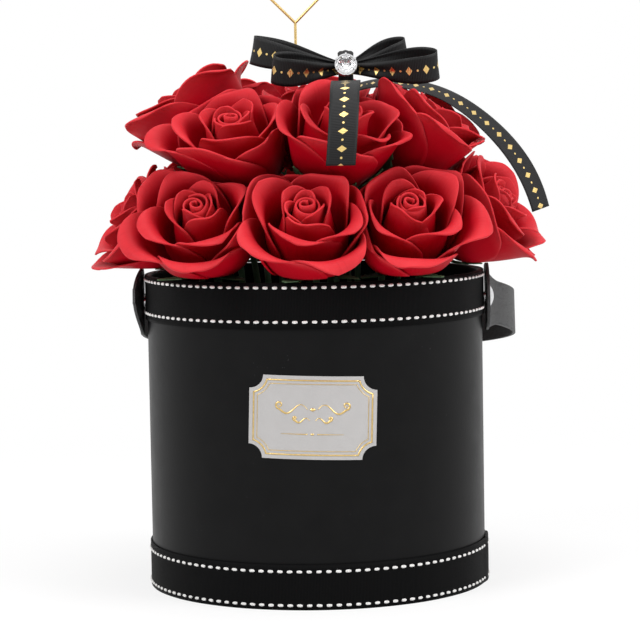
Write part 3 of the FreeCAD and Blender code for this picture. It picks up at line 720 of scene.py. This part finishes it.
# %% Places of the roses
Ring = namedtuple("Ring", "radius height push")
Rose = namedtuple("Rose", "ring azimuth facing tilt spin lift out", defaults=(0, 0))
RINGS = {"outer": Ring(85.0, 193.0, 5.0), "inner": Ring(60.0, 234.0, -3.0), "top": Ring(0.0, 245.0, -5.0)}
ROSES = [
    Rose("outer", 2, 2, 44, 0),
    Rose("outer", 42, 14, 44, 40),
    Rose("outer", 84, 80, 56, 100),
    Rose("outer", 124, 130, 48, 150),
    Rose("outer", 163, 163, 48, 190),
    Rose("outer", 203, 203, 48, 230),
    Rose("outer", 245, 256, 56, 270, out=6),
    Rose("outer", 285, 288, 56, 310, lift=4, out=5),
    Rose("outer", 326, 352, 44, 340),
    Rose("inner", 42, 14, 30, 25),
    Rose("inner", 92, 110, 34, 75, lift=12),
    Rose("inner", 140, 140, 28, 125, lift=6),
    Rose("inner", 198, 198, 28, 175, lift=4),
    Rose("inner", 246, 246, 28, 225, lift=2),
    Rose("inner", 293, 270, 34, 275, lift=2, out=2),
    Rose("inner", 346, 338, 30, 325, lift=2),
    Rose("top", 0, 60, 6, 15),
]
SIDE_GIVE, FLOOR_GIVE = 0.3, 0.18
BLOOM_MIDDLE, BLOOM_GAP = 23.0, 0.9
PAD_SIDE = 0.8


class Seat:
    """Where one rose sits: its middle, the turn that stands it there and the planes it is squeezed by."""

    def __init__(self, rose):
        ring = RINGS[rose.ring]
        lean = math.radians(rose.tilt)
        out = outward(rose.azimuth)
        self.push = ring.push
        self.middle = out * (ring.radius + rose.out) + np.array([0, 0, ring.height + rose.lift])
        axis = outward(rose.facing) * math.sin(lean) + np.array([0, 0, math.cos(lean)])
        spin = Quaternion((0, 0, 1), math.radians(rose.spin))
        self.turn = np.array((Vector((0, 0, 1)).rotation_difference(Vector(axis)) @ spin).to_matrix())
        self.foot = self.middle - axis * BLOOM_MIDDLE
        beside_pad = abs(out[0]) > PAD_SIDE
        self.floor = (RIVET_HEIGHT + PAD_RADIUS if beside_pad else DRUM_HEIGHT) + BLOOM_GAP

    def set_walls(self, seats):
        """A plane to each near neighbour and one to the floor: its direction, how far it is and its give."""
        self.walls = []
        for other in seats:
            away = other.middle - self.middle
            far = np.linalg.norm(away)
            if 0 < far < 4 * BLOOM_MIDDLE:
                limit = (far + self.push - other.push - BLOOM_GAP) / 2
                self.walls.append((away / far, limit, SIDE_GIVE))
        self.walls.append((np.array([0, 0, -1.0]), self.middle[2] - self.floor, FLOOR_GIVE))

    def give_way(self, local):
        """Points of an upright rose, stood in the dome and eased back from its neighbours."""
        points = local @ self.turn.T + self.foot
        for away, limit, give in self.walls:
            room = limit * give
            free = limit - room
            reach = (points - self.middle) @ away
            eased_back = free + room * (1 - np.exp((free - np.maximum(reach, free)) / room))
            points = points + away * np.where(reach > free, eased_back - reach, 0)[..., None]
        return points

    def stand(self, sheets):
        """Sheets of an upright rose, stood in the dome."""
        return [(self.give_way(points), *marks) for points, *marks in sheets]


seats = [Seat(rose) for rose in ROSES]
for seat in seats:
    seat.set_walls(seats)
print("roses:", len(seats), "planes round the first:", len(seats[0].walls))

# %% [markdown]
# A soap petal is a thin waxy sheet. It leaves the foot of the flower, cups round the bud and rolls out at
# its rim. Petals could be sculpted one by one, but the dome needs more than two hundred. So a petal's
# line is a slope that changes along it, and the points follow by adding up small steps. Each petal tucks
# under its neighbour on one side, rolls more at one corner and has a wavy rim. The heart of the rose is
# one petal rolled up into a spiral.

# %% Shapes of petals
Layer = namedtuple("Layer", "count length width foot_angle mid_angle curl"
                            " foot_radius foot_height phase tuck")
LAYERS = [
    Layer(3, 41.0, 30.0, 62.0, -15.0, 44.0, 3.8, 7.6, 80.0, 1.3),
    Layer(3, 43.5, 36.0, 62.0, -9.0, 60.0, 4.4, 6.6, 20.0, 1.6),
    Layer(4, 51.5, 51.0, 72.0, 4.0, 120.0, 5.4, 3.4, 65.0, 1.6),
    Layer(5, 57.5, 60.0, 76.0, 20.0, 160.0, 6.4, 0.0, 10.0, 1.5),
]
PETAL_STEPS, PETAL_COLUMNS, PETAL_ROWS = 60, 25, 31
OPEN_SLIP, TURN_SLIP = 4, 7
FOOT_WIDTH, RIM_TAPER, CORNER_FALL, TIP_POINT = 0.42, 0.3, 0.24, 0.015
BUD_TURNS, BUD_CORE, BUD_RADIUS, BUD_FOOT, BUD_TOP = 2.2, 1.3, 9.4, 9.5, 44.0


def petal_lines(layer, side, open_by, lopsided):
    """Radius, height and slope at even steps along a petal, for each of its columns."""
    v = np.linspace(0, 1, PETAL_STEPS + 1)[None, :]
    roll = 0.9 + 0.3 * abs(side) ** 1.6 + 0.26 * np.sin(1.9 * side + lopsided)
    cupped = mix(layer.foot_angle, layer.mid_angle + open_by, eased(0, 0.5, v))
    slope = np.radians(cupped + layer.curl * roll * eased(0.66, 1.12, v) ** 1.3)
    step = layer.length / PETAL_STEPS
    radius = layer.foot_radius + step * (np.cumsum(np.sin(slope), 1) - np.sin(slope))
    height = layer.foot_height + step * (np.cumsum(np.cos(slope), 1) - np.cos(slope))
    return radius, height, slope


def petal_grid(layer, index, chance, whim):
    """Points of one petal on an upright rose, with its place along and across."""
    open_by = chance.uniform(-OPEN_SLIP, OPEN_SLIP)
    facing = math.radians(layer.phase + 360 / layer.count * index + chance.uniform(-TURN_SLIP, TURN_SLIP))
    side = np.linspace(-1, 1, PETAL_COLUMNS)[:, None]
    lines = petal_lines(layer, side, open_by, whim.uniform(-2, 2))
    v = 1 - (1 - np.linspace(0, 1, PETAL_ROWS)[None, :]) ** 1.25
    pointed = np.exp(-((side - whim.uniform(-0.2, 0.2)) / 0.2) ** 2)
    tip = 1 - CORNER_FALL * abs(side) ** 2.2 + TIP_POINT * pointed
    at = np.minimum(v * tip, 1.03) * PETAL_STEPS
    steps = np.arange(PETAL_STEPS + 1)
    radius, height, slope = [np.stack([np.interp(a, steps, column) for a, column in zip(at, line)])
                             for line in lines]
    half = layer.width / 2 * mix(FOOT_WIDTH, 1, eased(0, 0.6, v)) * (1 - RIM_TAPER * eased(0.7, 1.15, v))
    swing = whim.uniform(0.35, 0.8)
    wave = np.sin(side * whim.uniform(3.5, 5.5) + whim.uniform(0, 6)) * eased(0.5, 1, v)
    shift = layer.tuck * side + swing * wave
    angle = facing + side * half / np.maximum(radius, layer.foot_radius + 4)
    radius = radius + shift * np.cos(slope)
    points = np.stack([radius * np.cos(angle), radius * np.sin(angle), height - shift * np.sin(slope)], -1)
    return points, v, side * half, whim.uniform(0, 1)


def bud_grid(whim):
    """Heart of the rose: one petal rolled up into a spiral that closes in at its top."""
    u, v = np.linspace(0, 1, 110)[:, None], np.linspace(0, 1, 16)[None, :]
    angle = u * BUD_TURNS * 2 * math.pi
    belly = 0.62 + 0.5 * np.sin(math.pi * (0.15 + 0.75 * v))
    flutter = 0.5 * eased(0.75, 1, v) * np.sin(angle * 1.5 + whim.uniform(0, 6))
    radius = mix(BUD_CORE, BUD_RADIUS, u) * belly + flutter
    top = BUD_TOP - 2.5 * u + 0.7 * np.sin(angle * 1.3 + whim.uniform(0, 6))
    points = np.stack([radius * np.cos(angle), radius * np.sin(angle), mix(BUD_FOOT, top, v)], -1)
    return points, v, u * 60, whim.uniform(0, 1)


print("petals in a rose:", sum(layer.count for layer in LAYERS))

# %% [markdown]
# Red soap petals are painted darker towards the foot, as painted shade deep in the bloom, and paler at
# the rim, as a painted highlight, with fine veins along them. Noise that is stretched along the petal
# draws the veins, and stays sharp close up. Light goes a little way into soap, which softens the shadows.
# Every rose is drawn with its own seed, so no two are alike.

# %% Roses
PETAL_THICK = 0.95


def petal_wax():
    wax = Finish("red_petal", {"Specular IOR Level": 0.05, "Subsurface Weight": 0.15,
                               "Subsurface Scale": 0.004, "Subsurface Radius": (1.0, 0.12, 0.1)})
    along, across, tone = wax.mark("along"), wax.mark("across"), wax.mark("tone")
    vein = wax.noise(wax.join(across * 1.1, along * 4, tone * 50), 1.0, 3)
    cloud = wax.noise(wax.place(), 8, 3)
    # Darker towards the foot of each petal: painted shade deep in the bloom.
    foot = wax.blend(along.step(0.05, 0.75), (0.16, 0.0006, 0.004), (0.40, 0.0014, 0.009))
    # Pale pink over the top of each petal: a painted highlight on the rims.
    rim = wax.blend(along.step(0.70, 1.0) * 0.8, foot, (0.66, 0.048, 0.058))
    shade = wax.blend(cloud * 0.3 + tone * 0.2, rim, (0.34, 0.0012, 0.008))
    wax.feed(Base_Color=wax.blend(vein.step(0.55, 0.75) * 0.16, shade, (0.24, 0.0008, 0.006)))
    wax.feed(Roughness=cloud * 0.14 + vein * 0.08 + 0.36)
    wax.relief(vein * 0.6 + cloud * 0.4, 0.16)
    return wax


red_petal = petal_wax()


def rose_petals(seat, number):
    chance, whim = random.Random(number), random.Random(100 + number)
    sheets = [bud_grid(whim)]
    for layer in LAYERS:
        sheets += [petal_grid(layer, i, chance, whim) for i in range(layer.count)]
    name = f"rose_petals_{number:02d}"
    petals = sheet_piece(name, seat.stand(sheets), [red_petal], thickness=PETAL_THICK)
    return set_on_body(petals, "red_petal", f"rose_bloom_{number:02d}")


blooms = [rose_petals(seat, number) for number, seat in enumerate(seats, 1)]
print("petal faces before thickness:", sum(len(bloom.data.polygons) for bloom in blooms))

# %% [markdown]
# Below each bloom sits a green cup with five sepals. A Screw modifier could turn the cup, but as a grid
# it can be leaned and squeezed with its rose. A sepal is a narrow blade with toothed sides, so its width
# is a smooth leaf shape times a saw. Those that point down droop a little, and show between the blooms
# and the rim.

# %% Cups and sepals
CUP_STEM, CUP_RADIUS, CUP_BOTTOM, CUP_TOP, CUP_BRIM = 3.06, 9.0, -11.0, -2.05, 0.85
SEPALS, SEPAL_LENGTH, SEPAL_HALF, SEPAL_TEETH, TOOTH_DEPTH = 5, 29.0, 6.0, 6.5, 0.42
SEPAL_ROOT, SEPAL_HEIGHT, GREEN_THICK = 8.5, -4.6, 0.7
sepal_green = green_plastic("sepal_green", (0.030, 0.070, 0.028), (0.075, 0.150, 0.065))


def cup_grid():
    """Bell that widens up to its brim and closes with a flat top."""
    t = np.linspace(0, 1, 18)[:, None]
    up = t / CUP_BRIM
    bell = mix(CUP_STEM, CUP_RADIUS, np.sin(up * math.pi / 2) ** 0.8)
    radius = np.where(t < CUP_BRIM, bell, CUP_RADIUS * (1 - t) / (1 - CUP_BRIM))
    height = np.where(t < CUP_BRIM, mix(CUP_BOTTOM, CUP_TOP, up ** 1.5), CUP_TOP)
    a = np.linspace(0, 2 * math.pi, 33)[None, :]
    rib = 1 + 0.03 * np.cos(10 * a)
    return np.stack([radius * rib * np.cos(a), radius * rib * np.sin(a), height + 0 * a], -1), t, 0, 0


def sepal_grid(index, whim, seat):
    """Toothed blade that droops if it points down."""
    v, side = np.linspace(0, 1, 49)[:, None], np.linspace(-1, 1, 9)[None, :]
    lift = whim.uniform(-1.2, 0.6) * v * v
    facing = math.radians(360 / SEPALS * (index + 0.5))
    c, s = math.cos(facing), math.sin(facing)
    droop = eased(0.1, 0.5, -seat.turn[2, 0] * c - seat.turn[2, 1] * s)
    ripple = 0.6 * np.sin(v * 9 + whim.uniform(0, 6)) * v
    x = SEPAL_ROOT + SEPAL_LENGTH * v * mix(0.72, 1.05, droop) + ripple
    rise = mix(0.16, 0.05, droop) * v + mix(0.36, 0.08, droop) * v * v
    height = SEPAL_HEIGHT + SEPAL_LENGTH * rise + lift - 0.9 * (1 - side ** 2) * (1 - v)
    leaf = SEPAL_HALF * (0.45 + 1.1 * v) * (1 - 0.93 * v ** 3)
    saw = (v * SEPAL_TEETH + 0.25 * np.sign(side)) % 1
    y = leaf * (1 - TOOTH_DEPTH * saw * eased(0.1, 0.35, v)) * side
    return np.stack([x * c - y * s, x * s + y * c, height + 0 * side], -1), v, y, whim.uniform(0, 1)


def rose_cup(seat, number):
    whim = random.Random(300 + number)
    sheets = [cup_grid()] + [sepal_grid(i, whim, seat) for i in range(SEPALS)]
    cup = sheet_piece(f"rose_cup_{number:02d}", seat.stand(sheets), [sepal_green], thickness=GREEN_THICK)
    return set_on_body(cup, "green_plastic", f"rose_calyx_{number:02d}")


cups = [rose_cup(seat, number) for number, seat in enumerate(seats, 1)]
print("cups:", len(cups), "with sepals:", len(cups) * SEPALS)

# %% [markdown]
# The bow is made from one narrow grosgrain ribbon, with a row of gold foil lozenges and dots on its face.
# Sums on the place along and across draw them, so they bend with the ribbon and keep sharp edges. The
# foil is added to the finish of the plain ribbon, which is kept for the back.

# %% Bow ribbon
# The last value is the painted highlight on the tops of the bow's ribs.
BOW_WIDTH, BOW_RIB, BOW_GLOSS, BOW_RIB_HIGHLIGHT = 15.0, 0.85, 0.22, 0.012
FOIL_PITCH, LOZENGE_AT, DOT_AT = 9.0, 0.35, 0.85
LOZENGE_LENGTH, LOZENGE_WIDTH = 1.7, 2.5


def foil_ribbon():
    cloth = ribbed_ribbon("black_ribbon_foil", BOW_RIB, BOW_WIDTH / 2, BOW_GLOSS, BOW_RIB_HIGHLIGHT)
    along, across = cloth.mark("along"), cloth.mark("across")
    cell = (along / FOIL_PITCH).fraction()
    diamond = abs(cell - LOZENGE_AT) * (FOIL_PITCH / LOZENGE_LENGTH) + abs(across) / LOZENGE_WIDTH
    from_dot = (cell - DOT_AT) * FOIL_PITCH
    dot = from_dot * from_dot + across * across
    foil = 1 - diamond.step(0.95, 1.05) * dot.step(0.28, 0.42)
    black, rough = cloth.fed("Base Color"), cloth.fed("Roughness")
    wear = cloth.noise(cloth.place(), 0.7, 2)
    cloth.feed(Base_Color=cloth.blend(foil, black, (0.80, 0.58, 0.22)), Metallic=foil)
    cloth.feed(Roughness=rough * (1 - foil) + foil * (wear * 0.2 + 0.2))
    return cloth


bow_back = ribbed_ribbon("black_ribbon", BOW_RIB, BOW_WIDTH / 2, BOW_GLOSS, BOW_RIB_HIGHLIGHT)
bow_face = foil_ribbon()
print("foil marks on 100 mm of ribbon:", 2 * round(100 / FOIL_PITCH))

# %% [markdown]
# Each loop is half of a figure of eight. A bevelled curve could make it, but a grid can also be gathered
# into pleats at the knot. The tails follow a smooth line, and their ends are cut on a slant. Solidify
# gives the two sides of a ribbon two finishes: a loop shows its foil on the outside, and a tail is turned
# over, so its finishes are named the other way round.

# %% Loops and tails of the bow
BOW_MIDDLE = np.array([18.5, -27.0, 275.0])
BOW_THICK, BOW_GATHER, PLEAT_DEPTH, CROWN = 0.45, 0.38, 2.4, 0.25
LOOP_STEPS, LOOP_START, TAIL_STEPS = 97, 0.012, 81
FRONT_ROUTE = [(0, -5.05, -9.8), (-0.6, -39, -7), (-1.4, -61, -12.5),
               (-2.4, -72.5, -27), (-4.2, -75.5, -49)]
SIDE_ROUTE = [(4, 3, -10.8), (28.5, 23, -8), (49.5, 30, -13), (74.5, 35, -29),
              (96.5, 35, -56), (104.5, 34, -77)]


def ribbon_piece(name, node, line, edges, width, sides, start, cut=0):
    """Ribbon along a line, with the direction of its edge, its width and a cut corner at its end."""
    steps = np.linalg.norm(np.diff(line, axis=0), axis=1)
    along = np.concatenate([[0], np.cumsum(steps)])[:, None]
    share = np.linspace(-0.5, 0.5, 9)[None, :]
    across = share * width[:, None]
    forward = unit(np.gradient(line, axis=0))
    slant = cut * share * (along / along[-1]) ** 6
    normal = unit(np.cross(forward, edges))
    pleat = PLEAT_DEPTH * (1 - width[:, None] / BOW_WIDTH) * np.cos(3 * math.pi * share)
    crown = CROWN * np.cos(math.pi * share) * np.sin(along / 7.0) + pleat
    points = line[:, None] + edges[:, None] * across[..., None] + forward[:, None] * slant[..., None]
    points = points + normal[:, None] * crown[..., None]
    ribbon = sheet_piece(name, [(points, along + start, across, 0)], sides, thickness=BOW_THICK)
    set_on_body(ribbon, "black_ribbon", node, body="bow")
    return ribbon


def loop_piece(name, node, root, tip, opening, lean, start):
    """Loop from the knot to its tip and back, with its upper edge tipped forward."""
    tip = np.array(tip, float)
    edge = unit(np.cross(tip, (0, 1, lean)))
    gape = unit(np.cross(edge, tip)) * opening / 2
    t = math.pi * np.linspace(LOOP_START, 1 - LOOP_START, LOOP_STEPS)[:, None]
    line = BOW_MIDDLE + np.array(root) + tip * np.sin(t) + gape * np.sin(2 * t)
    width = BOW_WIDTH * mix(BOW_GATHER, 1, eased(0, 0.85, np.sin(t[:, 0])))
    return ribbon_piece(name, node, line, np.repeat(edge[None], LOOP_STEPS, 0), width,
                        [bow_face, bow_back], start)


def tail_piece(name, node, route, first_edge, last_edge, cut, start):
    """Tail along a route from the middle of the bow, whose edge turns from one direction to another."""
    line = smooth_line(BOW_MIDDLE + np.array(route), TAIL_STEPS)[0]
    turn = eased(0, 1, np.linspace(0, 1, TAIL_STEPS))[:, None]
    edges = unit(mix(np.array(first_edge, float), np.array(last_edge, float), turn))
    return ribbon_piece(name, node, line, edges, np.full(TAIL_STEPS, BOW_WIDTH),
                        [bow_back, bow_face], start, cut)


loops = [
    loop_piece("bow_left_back", "bow_loop_left_back",
               root=(-1, 1.5, 0), tip=(-48, 13, 11), opening=17, lean=0.12, start=2),
    loop_piece("bow_left_front", "bow_loop_left_front",
               root=(-1, -1.5, 0), tip=(-37, -13, 0), opening=13, lean=0.35, start=5),
    loop_piece("bow_right_back", "bow_loop_right_back",
               root=(1, 1.5, 0), tip=(31, 12, 9), opening=12, lean=0.35, start=1),
    loop_piece("bow_right_front", "bow_loop_right_front",
               root=(1, -1.5, 0), tip=(47, -9, 1), opening=15, lean=0.4, start=7),
]
tails = [
    tail_piece("bow_front_tail", "bow_tail_front", FRONT_ROUTE,
               first_edge=(1, 0.05, 0), last_edge=(1, 0, 0.1), cut=1.5, start=3),
    tail_piece("bow_side_tail", "bow_tail_side", SIDE_ROUTE,
               first_edge=(0.1, 1, 0.3), last_edge=(0.6, 0.7, 0.45), cut=4, start=6),
]
print("bow pieces:", len(loops) + len(tails))

# %% [markdown]
# The knot is the same ribbon, folded narrow and wrapped once round the roots of the loops. Folds run
# along the wrap, so its section is a shallow wave.

# %% Knot of the bow
KNOT_HIGH, KNOT_DEEP, KNOT_HALF, KNOT_THICK = 9.2, 7.5, 4.0, 0.5
KNOT_FOLD, KNOT_ROUND = 0.2, 1.3
MARK_ALONG, MARK_ACROSS = 9.6, 7


def knot_piece():
    a = np.linspace(0, 2 * math.pi, 73)[:, None]
    share = np.linspace(-1, 1, 19)[None, :]
    fold = KNOT_FOLD * np.cos(share * math.pi * 2.5) - KNOT_ROUND * abs(share) ** 3
    x = share * KNOT_HALF * (0.94 + 0.06 * np.cos(2 * a))
    y, z = (KNOT_DEEP + fold) * np.sin(a), (KNOT_HIGH + fold) * np.cos(a)
    sheet = (BOW_MIDDLE + np.stack([x, y, z], -1), a * MARK_ALONG, share * MARK_ACROSS, 0)
    wrap = sheet_piece("bow_knot_wrap", [sheet], [bow_back], thickness=KNOT_THICK)
    set_on_body(wrap, "black_ribbon", "bow_knot", body="bow")
    return wrap


knot = knot_piece()
print("knot faces:", len(knot.data.polygons))

# %% [markdown]
# A round cut stone sits on the knot, in a small claw setting, and a gold wire pick stands beside the bow.
# All three keep their CAD shapes: glass needs flat facets, so the stone stays flat shaded.

# %% Stone, setting and pick
def clear_stone():
    stone = Finish("clear_stone", {"Transmission Weight": 1.0, "IOR": 1.9, "Roughness": 0.0})
    tint = stone.noise(stone.place(), 2, 1)
    stone.feed(Base_Color=stone.blend(tint, (0.93, 0.94, 0.96), (1, 1, 1)))
    return stone


finish_nodes(clear_stone(), "bow_stone")
finish_nodes(rivet_steel, "bow_stone_setting")
finish_nodes(gold_foil("gold_metal", 0.16), "card_pick")

# %% [markdown]
# Last, the colours are shown as written.

# %% Show the colours as written
bpy.context.scene.view_settings.view_transform = "Standard"
